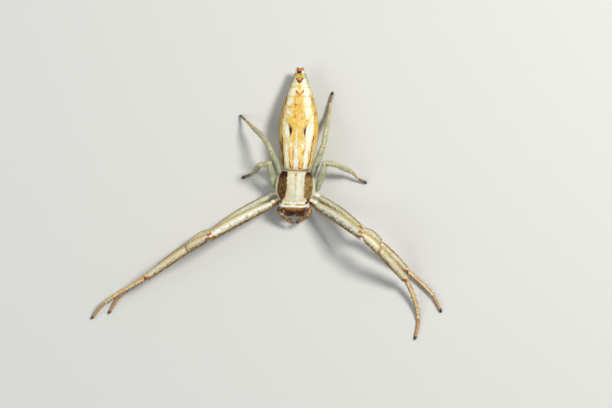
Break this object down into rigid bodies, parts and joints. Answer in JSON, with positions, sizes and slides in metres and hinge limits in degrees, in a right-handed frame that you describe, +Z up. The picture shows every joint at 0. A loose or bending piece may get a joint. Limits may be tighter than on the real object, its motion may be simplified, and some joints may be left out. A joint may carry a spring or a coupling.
{
  "type": "crab spider",
  "caption": "Life-size still model of a slender crab spider at rest, long tapering abdomen, front legs spread wide forward and short hind legs drawn in.",
  "frame": {"origin": "middle of the bounding box at floor level, under the head end of the body; the feet stand on z = 0", "axes": "+Z up from the floor, the spider faces -Y with its tail at +Y, +X is the animal's own left, along the span of the front legs"},
  "size_m": [0.0276, 0.0208, 0.0042],
  "materials": {
    "cream_cuticle": "cream-white cuticle, satin, with fine grey-green and yellow lines",
    "green_cuticle": "translucent grey-green cuticle of the short hind legs, satin",
    "tan_cuticle": "light tan cuticle of the feet, satin, with dark tips",
    "abdomen_cuticle": "golden-yellow and white patterned soft cuticle, satin",
    "brown_cuticle": "brown cuticle with pale rings",
    "fang_base": "dark red-brown, smooth and shiny",
    "eye": "black, glassy"
  },
  "bodies": {
    "root": {"carapace": "cream_cuticle", "sternum": "cream_cuticle", "abdomen": "abdomen_cuticle", "spinnerets": "brown_cuticle", "chelicera_left": "fang_base", "pedipalp_left": "brown_cuticle", "eye_anterior_median_left": "eye", "eye_anterior_lateral_left": "eye", "eye_posterior_median_left": "eye", "eye_posterior_lateral_left": "eye", "chelicera_right": "fang_base", "pedipalp_right": "brown_cuticle", "eye_anterior_median_right": "eye", "eye_anterior_lateral_right": "eye", "eye_posterior_median_right": "eye", "eye_posterior_lateral_right": "eye", "leg_1_left_coxa": "cream_cuticle", "leg_1_left_femur": "cream_cuticle", "leg_1_left_patella": "cream_cuticle", "leg_1_left_tibia": "cream_cuticle", "leg_1_left_metatarsus": "tan_cuticle", "leg_1_left_tarsus": "tan_cuticle", "leg_1_right_coxa": "cream_cuticle", "leg_1_right_femur": "cream_cuticle", "leg_1_right_patella": "cream_cuticle", "leg_1_right_tibia": "cream_cuticle", "leg_1_right_metatarsus": "tan_cuticle", "leg_1_right_tarsus": "tan_cuticle", "leg_2_left_coxa": "cream_cuticle", "leg_2_left_femur": "cream_cuticle", "leg_2_left_patella": "cream_cuticle", "leg_2_left_tibia": "cream_cuticle", "leg_2_left_metatarsus": "tan_cuticle", "leg_2_left_tarsus": "tan_cuticle", "leg_2_right_coxa": "cream_cuticle", "leg_2_right_femur": "cream_cuticle", "leg_2_right_patella": "cream_cuticle", "leg_2_right_tibia": "cream_cuticle", "leg_2_right_metatarsus": "tan_cuticle", "leg_2_right_tarsus": "tan_cuticle", "leg_3_left_coxa": "green_cuticle", "leg_3_left_femur": "green_cuticle", "leg_3_left_patella": "green_cuticle", "leg_3_left_tibia": "green_cuticle", "leg_3_left_foot": "tan_cuticle", "leg_3_right_coxa": "green_cuticle", "leg_3_right_femur": "green_cuticle", "leg_3_right_patella": "green_cuticle", "leg_3_right_tibia": "green_cuticle", "leg_3_right_foot": "tan_cuticle", "leg_4_left_coxa": "green_cuticle", "leg_4_left_femur": "green_cuticle", "leg_4_left_patella": "green_cuticle", "leg_4_left_tibia": "green_cuticle", "leg_4_left_foot": "tan_cuticle", "leg_4_right_coxa": "green_cuticle", "leg_4_right_femur": "green_cuticle", "leg_4_right_patella": "green_cuticle", "leg_4_right_tibia": "green_cuticle", "leg_4_right_foot": "tan_cuticle"}
  },
  "joints": []
}
